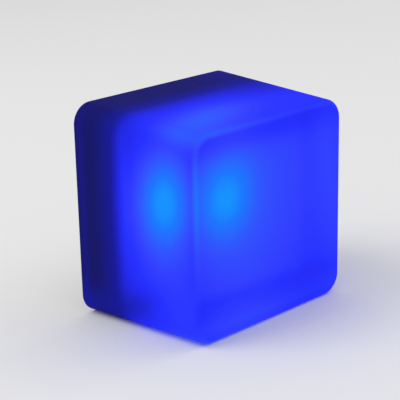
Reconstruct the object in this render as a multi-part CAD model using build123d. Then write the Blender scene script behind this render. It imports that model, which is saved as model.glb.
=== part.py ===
from build123d import *
import math
import os

# A portable garden light: a frosted block that glows, closed at the rear by a dark tub that holds the
# battery and the electronics. All sizes are millimetres and all angles are degrees.
#
# Each piece is drawn where it sits while the light stands on its feet on the bench: Z runs from the
# shell's rear rim, at 0, up to the cap, and X and Y run across. At the end LAID turns the whole light onto
# the side wall that it rests on, so that this drafted wall lies flat on the floor and the cap faces -Y.

# ---- Shell ----
SIDE = 100.0  # across the rear rim
DEPTH = 74.0  # from rear rim to cap
DRAFT = 2.25  # lean of each side wall towards the cap
CORNER_RADIUS = 9.5  # the four long edges
CAP_RADIUS = 3.0  # edge round the cap
RIM_RADIUS = 0.8  # edge round the rear rim
WALL = 4.5
CAP_WALL = 5.0
CAP_INNER_RADIUS = 2.5
RIM_WALL = 2.5  # what is left of the wall beside the rear panel

# ---- Base tub and its panel ----
PANEL = 3.2
PANEL_RECESS = 0.6  # how far the panel lies inside the rim
PANEL_CLEARANCE = 0.3
PANEL_EDGE = 0.5
TUB_WALL = 2.2
TUB_CLEARANCE = 0.4
TUB_EDGE = 1.5
TUB_INNER_EDGE = 0.4  # least radius inside the tub's corners
SLAB_FRONT = 27.0  # the dark module reaches this far from the rim
DECK = 2.2

# ---- Seal between tub and shell ----
SEAL_HEIGHT = 1.8
SEAL_GAP = 0.2  # from the tub's walls
SEAL_BEAD = 0.5  # rounded edges of the seal

# ---- Corner screws ----
SCREW_INSET = 10.5  # from the shell's sides at the rear rim
BOSS_RADIUS = 4.2
BOSS_LENGTH = 16.4
SCREW_CORE = 1.25  # radius, threads aren't drawn
SCREW_LENGTH = 13.0
SCREW_HEAD = 2.8
SCREW_HEAD_HEIGHT = 1.9
SCREW_HOLE = 1.7
SCREW_SINK = 2.4  # depth of the counterbore
SCREW_SINK_RADIUS = 3.2
PILOT_CLEARANCE = 0.05
PILOT_SPARE = 2.0  # hole below the screw's tip
CROSS_WIDTH = 0.8
CROSS_DEPTH = 1.1
CROSS_SHARE = 0.6  # of the head, in depth and in half length
HEAD_ROUND = 0.45  # share of a head's height that is rounded
TIP_CHAMFER = 0.5  # share of a shaft's radius
COLLAR_RADIUS = 3.8

# ---- Feet ----
FOOT_INSET = 11.0  # from the corner screw towards the axis, in X and in Y
FOOT_RADIUS = 6.0
FOOT_HEIGHT = 2.6
FOOT_SINK = 0.8
FOOT_CLEARANCE = 0.15
FOOT_EDGE = 0.7

# ---- Small screws inside ----
SMALL_CORE = 0.9
SMALL_HEAD = 1.9
SMALL_HEAD_HEIGHT = 1.3
SMALL_LENGTH = 5.0
SMALL_BOSS = 2.6
SMALL_HOLE = 1.15
SMALL_PILOT_SPARE = 1.0
SMALL_SINK = 0.1  # how far a sunk head lies below the surface
SMALL_SINK_CLEARANCE = 0.2
PANEL_SKIN = 1.2  # least plastic left behind a pilot hole in the panel

# ---- Deck screws ----
DECK_BOSS_AT = 24.0  # along the wall
DECK_BOSS_LENGTH = 12.0
DECK_BOSS_ROOT = 0.4  # how far a boss reaches into the wall
DECK_LIP = 1.2
DECK_LIP_HEIGHT = 1.6
DECK_LIP_CLEARANCE = 0.2

# ---- Light source ----
REFLECTOR = 0.8
REFLECTOR_GAP = 0.8  # from the shell's inner wall
SPREADER_RADIUS = 26.0
SPREADER = 1.5
SPREADER_CLEARANCE = 0.3
LAMP_BOARD_RADIUS = 22.0
LAMP_BOARD = 1.6
CHIP = 5.0
CHIP_HEIGHT = 1.5
CHIP_RING = 10.5
CHIP_RING_COUNT = 8
CHIP_LENS = 1.7  # radius of the light-giving round in each chip
CHIP_LENS_DEPTH = 0.3
LAMP_SCREW_RING = 18.5
LAMP_SCREW_COUNT = 3
LAMP_PILOT_SPARE = 0.5
SPREADER_EDGE = 0.45
DOME_RADIUS = 25.0
DOME_HEIGHT = 15.0
DOME_WALL = 1.5
DOME_FOOT = 1.6  # straight part at the dome's foot
LEAD_HOLE = 2.0
LEAD_HOLE_AT = -18.0

# ---- Power button ----
BUTTON_X = -16.0
CONTROLS_Y = 12.0
BUTTON_RADIUS = 6.0
BUTTON_CLEARANCE = 0.25
BUTTON_PROUD = 0.9  # above the panel
BUTTON_WALL = 1.6
BUTTON_EDGE = 0.8
BUTTON_DISH = 0.4  # depth of the finger dish
BUTTON_DISH_MARGIN = 1.5
BUTTON_FLANGE = 1.2  # how far the flange stands out
BUTTON_FLANGE_HEIGHT = 1.0
BUTTON_TRAVEL = 1.5
BUTTON_HUB = 3.0
BUTTON_SKIRT = 0.7  # wall behind the ring's groove
GROOVE_CLEARANCE = 0.05
GUARD_WIDTH = 2.0
GUARD_HEIGHT = 0.45
GUARD_EDGE = 0.27
RING_SECTION = 0.6  # radius of the seal ring's cord
RING_DEPTH = 1.75  # from the panel's outer face to the ring's middle
RING_CLEARANCE = 0.04
SWITCH_SIDE = 7.0
SWITCH_GAP = 0.4  # left between flange and switch with the button pressed
SWITCH_EDGE = 0.5
PLUNGER_RADIUS = 1.5
PLUNGER_CLEARANCE = 0.04
PLUNGER_GRIP = 2.6  # how far the plunger reaches into the hub
PLUNGER_INSIDE = 1.4
PLUNGER_EDGE = 0.3
PLUNGER_SPARE = 0.2  # below the pressed plunger

# ---- Charge port ----
PORT_X = 15.0
PORT_WIDTH = 11.6
PORT_HEIGHT = 5.8
PORT_COLLAR_WALL = 1.8
PORT_COLLAR_HEIGHT = 3.4
SOCKET_WIDTH = 8.94
SOCKET_HEIGHT = 3.26
SOCKET_WALL = 0.35
SOCKET_BACK = 1.05
SOCKET_RECESS = 4.0  # from the panel's outer face to the socket's mouth
TONGUE_WIDTH = 6.7
TONGUE = 0.7
TONGUE_RECESS = 0.8
GASKET_CLEARANCE = 0.1
GASKET_SETBACK = 0.4  # from the socket's mouth

# ---- Flap over the port ----
FLAP_WIDTH = 17.0
FLAP_HEIGHT = 11.0
FLAP = 1.5
FLAP_RADIUS = 2.5
FLAP_EDGE = 0.3
FLAP_CLEARANCE = 0.35
FLAP_SEAT_GAP = 0.1
FLAP_TAB_WIDTH = 7.0
FLAP_TAB = 1.6
FLAP_TAB_RADIUS = 1.2
NAIL_SCOOP_RADIUS = 4.2  # the hollow in the panel that lets a nail reach under the tab
NAIL_SCOOP_DEPTH = 1.3
NOSE_CLEARANCE = 0.35
NOSE_DEPTH = 1.9
NOSE_TAPER = 10.0
HINGE_RADIUS = 0.5
HINGE_GAP = 1.2  # from the flap's edge to the hinge line
HINGE_CLEARANCE = 0.06
WEB_ROOT = 1.0  # how far the web runs back into the flap
ANCHOR_LENGTH = 4.6
ANCHOR_WIDTH = 12.0
ANCHOR = 0.9
ANCHOR_RADIUS = 0.8
PEG_RADIUS = 1.2
PEG_SPACING = 7.0
PEG_CLEARANCE = 0.05
PEG_HEAD = 1.7
PEG_HEAD_HEIGHT = 1.0
PEG_HEAD_EDGE = 0.4

# ---- Indicator ----
WINDOW_RADIUS = 1.5
WINDOW_CLEARANCE = 0.08
WINDOW_FLANGE = 0.8
WINDOW_FLANGE_HEIGHT = 1.0
WINDOW_EDGE = 0.3
WINDOW_GAP = 0.5  # from the indicator chip
INDICATOR_CHIP = 1.6
INDICATOR_CHIP_HEIGHT = 0.8

# ---- Control board ----
BOARD_WIDTH = 60.0
BOARD_HEIGHT = 28.0
BOARD = 1.6
BOARD_LEVEL = 12.0  # its rear face, from the rim
BOARD_POST_INSET = 3.2
BOARD_EDGE = 1.5

# ---- Parts on the control board, placed from its middle ----
CONTROLLER = 7.0
CONTROLLER_X = -10.0
CONTROLLER_Y = 3.0
CHARGER_WIDTH = 5.0
CHARGER_HEIGHT = 4.0
CHARGER_X = 16.0
UPPER_ROW = 4.0  # middle of the charger and the coil
PACKAGE = 1.0  # thickness of the controller and the charger
COIL = 7.0
COIL_X = 3.0
COIL_HEIGHT = 3.6
COIL_EDGE = 1.5
CAPACITOR_RADIUS = 3.1
CAPACITOR_HEIGHT = 5.8
CAPACITOR_X = (-21.0, 24.0)
CAPACITOR_Y = 5.0
RESISTOR_COUNT = 6
RESISTOR_PITCH = 3.2
RESISTOR_X = -15.0  # the first of the row
RESISTOR_Y = -3.5
RESISTOR_LENGTH = 1.6
RESISTOR_WIDTH = 0.8
RESISTOR = 0.7

# ---- Battery ----
CELL_RADIUS = 9.2
CELL_LENGTH = 65.0
CELL_EDGE = 1.0
CELL_CLEARANCE = 0.2
CRADLE_FLOOR = 1.2
CRADLE_WALL = 1.6
CRADLE_END = 2.0
CRADLE_END_GAP = 1.6
CRADLE_REACH = 12.0  # height of its sides above its floor
CRADLE_WALL_GAP = 9.0  # from the tub's wall
CRADLE_EAR_AT = 13.0  # from the middle of the cell
CRADLE_EAR_HEIGHT = 2.0
CRADLE_EAR_GAP = 0.3  # between the cradle's side and the posts
CRADLE_EAR_RADIUS = 1.5
CRADLE_BOSS_HEIGHT = 4.0
TAB = 0.3
TAB_WIDTH = 8.0
TAB_REACH = 7.0
PAD_LENGTH = 40.0
PAD_WIDTH = 10.0
PAD_OVERLAP = 1.0  # how far the pad's sides reach down beside the cell's top
PAD_CLEARANCE = 0.02

# ---- Leads and their plugs ----
LEAD_RADIUS = 0.7
PLUG_WIDTH = 7.5
PLUG_LENGTH = 6.0
PLUG_HEIGHT = 4.6
PLUG_X = 21.0
PLUG_INSET = 1.5
PLUG_EDGE = 0.4
LEAD_SPACING = 2.5
LEAD_BEND = 0.45  # share of the shorter run that a bend takes up
LEAD_JOIN = 4.6  # where a lead meets its tab, above the tab's middle

LEAN = math.tan(math.radians(DRAFT))
SCREW_AT = SIDE / 2 - SCREW_INSET
FOOT_AT = SCREW_AT - FOOT_INSET
PANEL_INNER = PANEL_RECESS + PANEL
LEDGE = PANEL_INNER + SEAL_HEIGHT
SEAT_HALF = SIDE / 2 - RIM_WALL
SEAT_RADIUS = CORNER_RADIUS - RIM_WALL
PANEL_HALF = SEAT_HALF - PANEL_CLEARANCE
PANEL_RADIUS = SEAT_RADIUS - PANEL_CLEARANCE
TUB_RIM = SLAB_FRONT - DECK
SHELL_INSET = WALL + TUB_CLEARANCE
TUB_HALF = SIDE / 2 - SLAB_FRONT * LEAN - SHELL_INSET
NOTCH = SCREW_AT - BOSS_RADIUS - TUB_CLEARANCE
SPREADER_FRONT = SLAB_FRONT + SPREADER
LAMP_FRONT = SPREADER_FRONT + LAMP_BOARD
BOARD_FRONT = BOARD_LEVEL + BOARD
CELL_Z = PANEL_INNER + CRADLE_FLOOR + CELL_CLEARANCE + CELL_RADIUS
BUTTON_HOLE = BUTTON_RADIUS + BUTTON_CLEARANCE
FLANGE_TOP = PANEL_INNER + BUTTON_FLANGE_HEIGHT
SWITCH_FACE = FLANGE_TOP + BUTTON_TRAVEL + SWITCH_GAP
SOCKET_MOUTH = PANEL_RECESS + SOCKET_RECESS
POCKET_FLOOR = PANEL_RECESS + FLAP + FLAP_SEAT_GAP
HINGE_Y = CONTROLS_Y + FLAP_HEIGHT / 2 + HINGE_GAP
HINGE_Z = PANEL_RECESS + HINGE_RADIUS
LAID = Pos(0, DEPTH / 2, 0) * Rot(90 + DRAFT, 0, 0) * Pos(0, SIDE / 2, 0)


# ---- Shapes that several pieces share ----


def rounded_slab(half, radius, low, high):
    """A straight rounded square block round the light's axis."""
    return extrude(Pos(0, 0, low) * RectangleRounded(2 * half, 2 * half, radius), high - low)


def drafted_block(inset, low, high):
    """A rounded square block whose sides keep one distance from the shell's outer faces."""
    half = SIDE / 2 - low * LEAN - inset
    block = extrude(Pos(0, 0, low) * Rectangle(2 * half, 2 * half), high - low, taper=DRAFT)
    return fillet(block.edges().group_by(Axis.Z)[1], CORNER_RADIUS - inset)


def post(x, y, low, high, radius):
    """A round post or hole between two levels."""
    return Pos(x, y, low) * Cylinder(radius, high - low, align=(Align.CENTER, Align.CENTER, Align.MIN))


def slot_block(x, y, low, high, width, height, taper=0.0):
    """An upright block with round ends, wider in X than in Y."""
    outline = Pos(x, y, low) * SlotOverall(width, height)
    return extrude(outline, high - low, taper=taper)


def corner_spots(distance):
    """The four points that lie this far from the axis in X and in Y."""
    return [(sx * distance, sy * distance) for sx in (-1, 1) for sy in (-1, 1)]


def screw(radius, length, head_radius, head_height):
    """A pan head screw that points up, with its head's seat at 0 and a cross cut in the head."""
    head = Pos(0, 0, -head_height / 2) * Cylinder(head_radius, head_height)
    head = fillet(head.edges().sort_by(Axis.Z)[0], head_height * HEAD_ROUND)
    cross_depth = min(CROSS_DEPTH, head_height * CROSS_SHARE)
    cross_length = 2 * head_radius * CROSS_SHARE
    cut = Box(cross_length, CROSS_WIDTH, cross_depth) + Box(CROSS_WIDTH, cross_length, cross_depth)
    head -= Pos(0, 0, cross_depth / 2 - head_height) * cut
    shaft = post(0, 0, 0, length, radius)
    return head + chamfer(shaft.edges().sort_by(Axis.Z)[-1], radius * TIP_CHAMFER)


def several(pieces):
    """Separate solids that share one node."""
    return Compound([solid for piece in pieces for solid in piece.solids()])


# ---- Shell ----

PILOT = SCREW_CORE + PILOT_CLEARANCE
SCREW_SEAT = PANEL_RECESS + SCREW_SINK
BOSS_TOP = LEDGE + BOSS_LENGTH


def diffuser_shell():
    body = drafted_block(0, 0, DEPTH)
    body = fillet(body.edges().group_by(Axis.Z)[-1], CAP_RADIUS)
    body = fillet(body.edges().group_by(Axis.Z)[0], RIM_RADIUS)
    room = drafted_block(WALL, 0, DEPTH - CAP_WALL)
    room = fillet(room.edges().group_by(Axis.Z)[-1], CAP_INNER_RADIUS)
    body -= room
    edge = SCREW_AT - BOSS_RADIUS
    reach = SIDE / 2 - WALL / 2 - edge
    pad = Rectangle(reach, reach, align=(Align.MIN, Align.MIN))
    pad = fillet(pad.vertices().sort_by(lambda v: v.X + v.Y)[0], BOSS_RADIUS)
    boss = extrude(Pos(edge, edge, LEDGE) * pad, BOSS_LENGTH) & drafted_block(WALL / 2, LEDGE, BOSS_TOP)
    for turn in range(4):
        body += Rot(0, 0, 90 * turn) * boss
    body -= rounded_slab(SEAT_HALF, SEAT_RADIUS, 0, LEDGE)
    for x, y in corner_spots(SCREW_AT):
        body -= post(x, y, LEDGE, SCREW_SEAT + SCREW_LENGTH + PILOT_SPARE, PILOT)
    return body


def base_seal():
    inner = TUB_HALF + SEAL_GAP
    ring = rounded_slab(PANEL_HALF, PANEL_RADIUS, PANEL_INNER, LEDGE)
    ring -= rounded_slab(inner, PANEL_RADIUS - (PANEL_HALF - inner), PANEL_INNER, LEDGE)
    return chamfer(ring.edges().group_by(Axis.Z)[-1], SEAL_BEAD)


# ---- Base tub ----


def tub_outline(inset):
    """Plan of the tub's walls: a square whose corners step in round the shell's bosses."""
    half = TUB_HALF - inset
    notch = NOTCH - inset
    outline = Rectangle(2 * half, 2 * half)
    for sx, sy in corner_spots(1):
        outline -= Pos(sx * (notch + half / 2), sy * (notch + half / 2)) * Rectangle(half, half)
    inner = [v for v in outline.vertices() if abs(abs(v.X) - abs(v.Y)) < 0.01]
    outline = fillet(inner, BOSS_RADIUS + TUB_CLEARANCE + inset)
    outer = [v for v in outline.vertices() if abs(max(abs(v.X), abs(v.Y)) - half) < 0.01]
    outer = [v for v in outer if abs(min(abs(v.X), abs(v.Y)) - notch) < 0.01]
    return fillet(outer, max(TUB_EDGE - inset, TUB_INNER_EDGE))


def deck_boss_spots():
    """Screw posts for the deck, two beside each of the two side walls."""
    y = TUB_HALF - TUB_WALL - SMALL_BOSS + DECK_BOSS_ROOT
    return [(sx * DECK_BOSS_AT, sy * y) for sx in (-1, 1) for sy in (-1, 1)]


def board_post_spots():
    """Screw posts for the control board's corners."""
    x = BOARD_WIDTH / 2 - BOARD_POST_INSET
    y = BOARD_HEIGHT / 2 - BOARD_POST_INSET
    return [(sx * x, CONTROLS_Y + sy * y) for sx in (-1, 1) for sy in (-1, 1)]


CRADLE_LENGTH = CELL_LENGTH + 2 * (CRADLE_END_GAP + CRADLE_END)
CRADLE_WIDTH = 2 * (CELL_RADIUS + CELL_CLEARANCE + CRADLE_WALL)
CELL_Y = CRADLE_WALL_GAP + CRADLE_WIDTH / 2 + TUB_WALL - TUB_HALF
EAR_Y = CELL_Y - CRADLE_WIDTH / 2 - CRADLE_EAR_GAP - SMALL_BOSS
EAR_LEVEL = PANEL_INNER + CRADLE_BOSS_HEIGHT
PEG_Y = HINGE_Y + HINGE_RADIUS + ANCHOR_LENGTH / 2
ANCHOR_Z = HINGE_Z + HINGE_RADIUS / 2


def ear_spots():
    """Screw posts for the battery cradle's two ears."""
    return [(side * CRADLE_EAR_AT, EAR_Y) for side in (-1, 1)]


def small_screw_post(x, y, level):
    """A post from the panel up to a level, and the pilot hole in it."""
    bottom = max(level - SMALL_LENGTH - SMALL_PILOT_SPARE, PANEL_RECESS + PANEL_SKIN)
    hole = post(x, y, bottom, level, SMALL_CORE + PILOT_CLEARANCE)
    return post(x, y, PANEL_INNER, level, SMALL_BOSS), hole


def flap_outline(spare):
    """The flap's plan with its finger tab, grown by a clearance."""
    body = RectangleRounded(FLAP_WIDTH + 2 * spare, FLAP_HEIGHT + 2 * spare, FLAP_RADIUS + spare)
    tab_length = FLAP_TAB + FLAP_RADIUS
    tab_radius = FLAP_TAB_RADIUS + spare
    tab = RectangleRounded(FLAP_TAB_WIDTH + 2 * spare, tab_length * 2 + 2 * spare, tab_radius)
    return body + Pos(0, -FLAP_HEIGHT / 2 + tab_length - FLAP_TAB) * tab


def anchor_block(spare, low, high):
    """The strip beyond the hinge line that holds the flap to the panel."""
    length = ANCHOR_LENGTH + HINGE_RADIUS
    outline = RectangleRounded(ANCHOR_WIDTH + 2 * spare, length + 2 * spare, ANCHOR_RADIUS + spare)
    return extrude(Pos(PORT_X, HINGE_Y + length / 2, low) * outline, high - low)


def peg_spots():
    return [(PORT_X + side * PEG_SPACING / 2, PEG_Y) for side in (-1, 1)]


def base_tub():
    panel = rounded_slab(PANEL_HALF, PANEL_RADIUS, PANEL_RECESS, PANEL_INNER)
    panel = chamfer(panel.edges().group_by(Axis.Z)[0], PANEL_EDGE)
    body = panel + extrude(Pos(0, 0, PANEL_INNER) * tub_outline(0), TUB_RIM - PANEL_INNER)
    body -= extrude(Pos(0, 0, PANEL_INNER) * tub_outline(TUB_WALL), TUB_RIM - PANEL_INNER)
    holes = []
    # Seats of the four corner screws, which stop against the shell's bosses.
    for x, y in corner_spots(SCREW_AT):
        body += post(x, y, PANEL_INNER, LEDGE, COLLAR_RADIUS)
        holes.append(post(x, y, PANEL_RECESS, LEDGE, SCREW_HOLE))
        holes.append(post(x, y, PANEL_RECESS, SCREW_SEAT, SCREW_SINK_RADIUS))
    for x, y in corner_spots(FOOT_AT):
        holes.append(post(x, y, PANEL_RECESS, PANEL_RECESS + FOOT_SINK, FOOT_RADIUS + FOOT_CLEARANCE))
    # Posts for the deck, the control board and the battery cradle.
    for x, y in deck_boss_spots():
        body += post(x, y, TUB_RIM - DECK_BOSS_LENGTH, TUB_RIM, SMALL_BOSS)
        bottom = TUB_RIM - SMALL_LENGTH - SMALL_PILOT_SPARE
        holes.append(post(x, y, bottom, TUB_RIM, SMALL_CORE + PILOT_CLEARANCE))
    posts = [(x, y, BOARD_LEVEL) for x, y in board_post_spots()]
    posts += [(x, y, EAR_LEVEL) for x, y in ear_spots()]
    for x, y, level in posts:
        solid, hole = small_screw_post(x, y, level)
        body += solid
        holes.append(hole)
    # Guard ring and hole of the power button.
    guard_radius = BUTTON_HOLE + GUARD_WIDTH
    guard = post(BUTTON_X, CONTROLS_Y, PANEL_RECESS - GUARD_HEIGHT, PANEL_RECESS, guard_radius)
    body += chamfer(guard.edges().sort_by(Axis.Z)[0], GUARD_EDGE)
    holes.append(post(BUTTON_X, CONTROLS_Y, 0, PANEL_INNER, BUTTON_HOLE))
    # Collar, opening and flap pocket of the charge port.
    grow = 2 * PORT_COLLAR_WALL
    top = PANEL_INNER + PORT_COLLAR_HEIGHT
    body += slot_block(PORT_X, CONTROLS_Y, PANEL_INNER, top, PORT_WIDTH + grow, PORT_HEIGHT + grow)
    holes.append(slot_block(PORT_X, CONTROLS_Y, PANEL_RECESS, top, PORT_WIDTH, PORT_HEIGHT))
    pocket = Pos(PORT_X, CONTROLS_Y, PANEL_RECESS) * flap_outline(FLAP_CLEARANCE)
    holes.append(extrude(pocket, POCKET_FLOOR - PANEL_RECESS))
    bridge = HINGE_Y + HINGE_RADIUS - CONTROLS_Y
    channel = Rectangle(ANCHOR_WIDTH + 2 * FLAP_CLEARANCE, bridge, align=(Align.CENTER, Align.MIN))
    holes.append(extrude(Pos(PORT_X, CONTROLS_Y, PANEL_RECESS) * channel, POCKET_FLOOR - PANEL_RECESS))
    tab_end = CONTROLS_Y - FLAP_HEIGHT / 2 - FLAP_TAB
    scoop_radius = (NAIL_SCOOP_RADIUS**2 + NAIL_SCOOP_DEPTH**2) / (2 * NAIL_SCOOP_DEPTH)
    scoop_z = PANEL_RECESS + NAIL_SCOOP_DEPTH - scoop_radius
    holes.append(Pos(PORT_X, tab_end, scoop_z) * Sphere(scoop_radius))
    holes.append(anchor_block(PEG_CLEARANCE, PANEL_RECESS, ANCHOR_Z + ANCHOR))
    for x, y in peg_spots():
        holes.append(post(x, y, PANEL_RECESS, PANEL_INNER, PEG_RADIUS + PEG_CLEARANCE))
    # Hole of the indicator window.
    holes.append(post(0, CONTROLS_Y, PANEL_RECESS, PANEL_INNER, WINDOW_RADIUS + WINDOW_CLEARANCE))
    for hole in holes:
        body -= hole
    return body


def base_screws():
    made = Pos(0, 0, SCREW_SEAT) * screw(SCREW_CORE, SCREW_LENGTH, SCREW_HEAD, SCREW_HEAD_HEIGHT)
    return several([Pos(x, y, 0) * made for x, y in corner_spots(SCREW_AT)])


def rubber_feet():
    top = PANEL_RECESS + FOOT_SINK
    foot = post(0, 0, top - FOOT_HEIGHT, top, FOOT_RADIUS)
    foot = fillet(foot.edges().sort_by(Axis.Z)[0], FOOT_EDGE)
    return several([Pos(x, y, 0) * foot for x, y in corner_spots(FOOT_AT)])


# ---- Deck and light source ----

DECK_SCREW_SEAT = SLAB_FRONT - SMALL_HEAD_HEIGHT - SMALL_SINK


def ring_spots(radius, count, start):
    """Points spaced evenly on a circle round the axis."""
    angles = [math.radians(start + 360 * k / count) for k in range(count)]
    return [(radius * math.cos(angle), radius * math.sin(angle)) for angle in angles]


def lamp_screw_spots():
    return ring_spots(LAMP_SCREW_RING, LAMP_SCREW_COUNT, 90)


def led_deck():
    body = drafted_block(SHELL_INSET, TUB_RIM, SLAB_FRONT)
    lip_inset = TUB_WALL + DECK_LIP_CLEARANCE
    lip = tub_outline(lip_inset) - tub_outline(lip_inset + DECK_LIP)
    lip = extrude(Pos(0, 0, TUB_RIM - DECK_LIP_HEIGHT) * lip, DECK_LIP_HEIGHT)
    for x, y in deck_boss_spots():
        lip -= post(x, y, TUB_RIM - DECK_LIP_HEIGHT, TUB_RIM, SMALL_BOSS + DECK_LIP_CLEARANCE)
    body += lip
    boss_low = LAMP_FRONT - SMALL_LENGTH - SPREADER
    for x, y in lamp_screw_spots():
        body += post(x, y, boss_low, TUB_RIM, SMALL_BOSS)
        bottom = LAMP_FRONT - SMALL_LENGTH - LAMP_PILOT_SPARE
        body -= post(x, y, bottom, SLAB_FRONT, SMALL_CORE + PILOT_CLEARANCE)
    for x, y in deck_boss_spots():
        body -= post(x, y, TUB_RIM, SLAB_FRONT, SMALL_HOLE)
        body -= post(x, y, DECK_SCREW_SEAT, SLAB_FRONT, SMALL_HEAD + SMALL_SINK_CLEARANCE)
    return body - post(LEAD_HOLE_AT, 0, TUB_RIM, SLAB_FRONT, LEAD_HOLE)


def small_screws(spots, seat):
    """Small screws that point down to the panel, one at each spot, with their heads' seats at one level."""
    made = Rot(180, 0, 0) * screw(SMALL_CORE, SMALL_LENGTH, SMALL_HEAD, SMALL_HEAD_HEIGHT)
    return several([Pos(x, y, seat) * made for x, y in spots])


def deck_screws():
    return small_screws(deck_boss_spots(), DECK_SCREW_SEAT)


def reflector_sheet():
    body = drafted_block(WALL + REFLECTOR_GAP, SLAB_FRONT, SLAB_FRONT + REFLECTOR)
    return body - post(0, 0, SLAB_FRONT, SLAB_FRONT + REFLECTOR, SPREADER_RADIUS + SPREADER_CLEARANCE)


def heat_spreader():
    body = post(0, 0, SLAB_FRONT, SPREADER_FRONT, SPREADER_RADIUS)
    body = chamfer(body.edges().sort_by(Axis.Z)[-1], SPREADER_EDGE)
    for x, y in lamp_screw_spots():
        body -= post(x, y, SLAB_FRONT, SPREADER_FRONT, SMALL_HOLE)
    return body - post(LEAD_HOLE_AT, 0, SLAB_FRONT, SPREADER_FRONT, LEAD_HOLE)


def led_board():
    body = post(0, 0, SPREADER_FRONT, LAMP_FRONT, LAMP_BOARD_RADIUS)
    for x, y in lamp_screw_spots():
        body -= post(x, y, SPREADER_FRONT, LAMP_FRONT, SMALL_HOLE)
    return body - post(LEAD_HOLE_AT, 0, SPREADER_FRONT, LAMP_FRONT, LEAD_HOLE)


def led_chips():
    chip = Pos(0, 0, LAMP_FRONT + CHIP_HEIGHT / 2) * Box(CHIP, CHIP, CHIP_HEIGHT)
    top = LAMP_FRONT + CHIP_HEIGHT
    chip -= post(0, 0, top - CHIP_LENS_DEPTH, top, CHIP_LENS)
    start = 180 / CHIP_RING_COUNT
    ring = [
        Pos(x, y, 0) * Rot(0, 0, math.degrees(math.atan2(y, x))) * chip
        for x, y in ring_spots(CHIP_RING, CHIP_RING_COUNT, start)
    ]
    return several([chip] + ring)


def led_board_screws():
    return small_screws(lamp_screw_spots(), LAMP_FRONT)


def dome(radius, height, foot):
    """A solid dome: a short straight foot under a round cap whose top is level."""
    with BuildSketch(Plane.XZ) as section:
        with BuildLine():
            Polyline((0, height), (0, 0), (radius, 0), (radius, foot))
            TangentArc((0, height), (radius, foot), tangent=(1, 0))
        make_face()
    return revolve(section.sketch, Axis.Z)


def led_dome():
    inner = dome(DOME_RADIUS - DOME_WALL, DOME_HEIGHT - DOME_WALL, DOME_FOOT)
    return Pos(0, 0, SPREADER_FRONT) * (dome(DOME_RADIUS, DOME_HEIGHT, DOME_FOOT) - inner)


# ---- Power button and switch ----

BUTTON_FACE = PANEL_RECESS - BUTTON_PROUD
RING_Z = PANEL_RECESS + RING_DEPTH
RING_RADIUS = BUTTON_HOLE - RING_CLEARANCE - RING_SECTION
PLUNGER_TIP = FLANGE_TOP - PLUNGER_GRIP
PLUNGER_END = SWITCH_FACE + PLUNGER_INSIDE


def power_button():
    body = post(0, 0, BUTTON_FACE, FLANGE_TOP, BUTTON_RADIUS)
    body = fillet(body.edges().sort_by(Axis.Z)[0], BUTTON_EDGE)
    dish_chord = BUTTON_RADIUS - BUTTON_DISH_MARGIN
    dish_radius = (dish_chord**2 + BUTTON_DISH**2) / (2 * BUTTON_DISH)
    body -= Pos(0, 0, BUTTON_FACE + BUTTON_DISH - dish_radius) * Sphere(dish_radius)
    body += post(0, 0, PANEL_INNER, FLANGE_TOP, BUTTON_HOLE + BUTTON_FLANGE)
    half_groove = RING_SECTION + GROOVE_CLEARANCE
    groove_root = RING_RADIUS - half_groove
    groove = post(0, 0, RING_Z - half_groove, RING_Z + half_groove, BUTTON_HOLE)
    groove -= post(0, 0, RING_Z - half_groove, RING_Z + half_groove, groove_root)
    body -= groove
    room = post(0, 0, BUTTON_FACE + BUTTON_DISH + BUTTON_WALL, FLANGE_TOP, groove_root - BUTTON_SKIRT)
    body -= room - post(0, 0, BUTTON_FACE, FLANGE_TOP, BUTTON_HUB)
    body -= post(0, 0, PLUNGER_TIP, FLANGE_TOP, PLUNGER_RADIUS + PLUNGER_CLEARANCE)
    return Pos(BUTTON_X, CONTROLS_Y, 0) * body


def button_seal():
    return Pos(BUTTON_X, CONTROLS_Y, RING_Z) * Torus(RING_RADIUS, RING_SECTION)


def switch_plunger():
    body = post(BUTTON_X, CONTROLS_Y, PLUNGER_TIP, PLUNGER_END, PLUNGER_RADIUS)
    return chamfer(body.edges().group_by(Axis.Z)[0], PLUNGER_EDGE)


def push_switch():
    height = BOARD_LEVEL - SWITCH_FACE
    body = Pos(BUTTON_X, CONTROLS_Y, SWITCH_FACE + height / 2) * Box(SWITCH_SIDE, SWITCH_SIDE, height)
    body = chamfer(body.edges().group_by(Axis.Z)[0], SWITCH_EDGE)
    bottom = PLUNGER_END + BUTTON_TRAVEL + PLUNGER_SPARE
    return body - post(BUTTON_X, CONTROLS_Y, SWITCH_FACE, bottom, PLUNGER_RADIUS + PLUNGER_CLEARANCE)


# ---- Charge port ----


def charge_socket():
    body = slot_block(PORT_X, CONTROLS_Y, SOCKET_MOUTH, BOARD_LEVEL, SOCKET_WIDTH, SOCKET_HEIGHT)
    floor = BOARD_LEVEL - SOCKET_BACK
    inner_width = SOCKET_WIDTH - 2 * SOCKET_WALL
    inner_height = SOCKET_HEIGHT - 2 * SOCKET_WALL
    body -= slot_block(PORT_X, CONTROLS_Y, SOCKET_MOUTH, floor, inner_width, inner_height)
    tongue_low = SOCKET_MOUTH + TONGUE_RECESS
    tongue = Box(TONGUE_WIDTH, TONGUE, floor - tongue_low)
    return body + Pos(PORT_X, CONTROLS_Y, (tongue_low + floor) / 2) * tongue


def socket_gasket():
    low = SOCKET_MOUTH + GASKET_SETBACK
    high = PANEL_INNER + PORT_COLLAR_HEIGHT
    spare = 2 * GASKET_CLEARANCE
    body = slot_block(PORT_X, CONTROLS_Y, low, high, PORT_WIDTH - spare, PORT_HEIGHT - spare)
    width = SOCKET_WIDTH + spare
    return body - slot_block(PORT_X, CONTROLS_Y, low, high, width, SOCKET_HEIGHT + spare)


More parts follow.
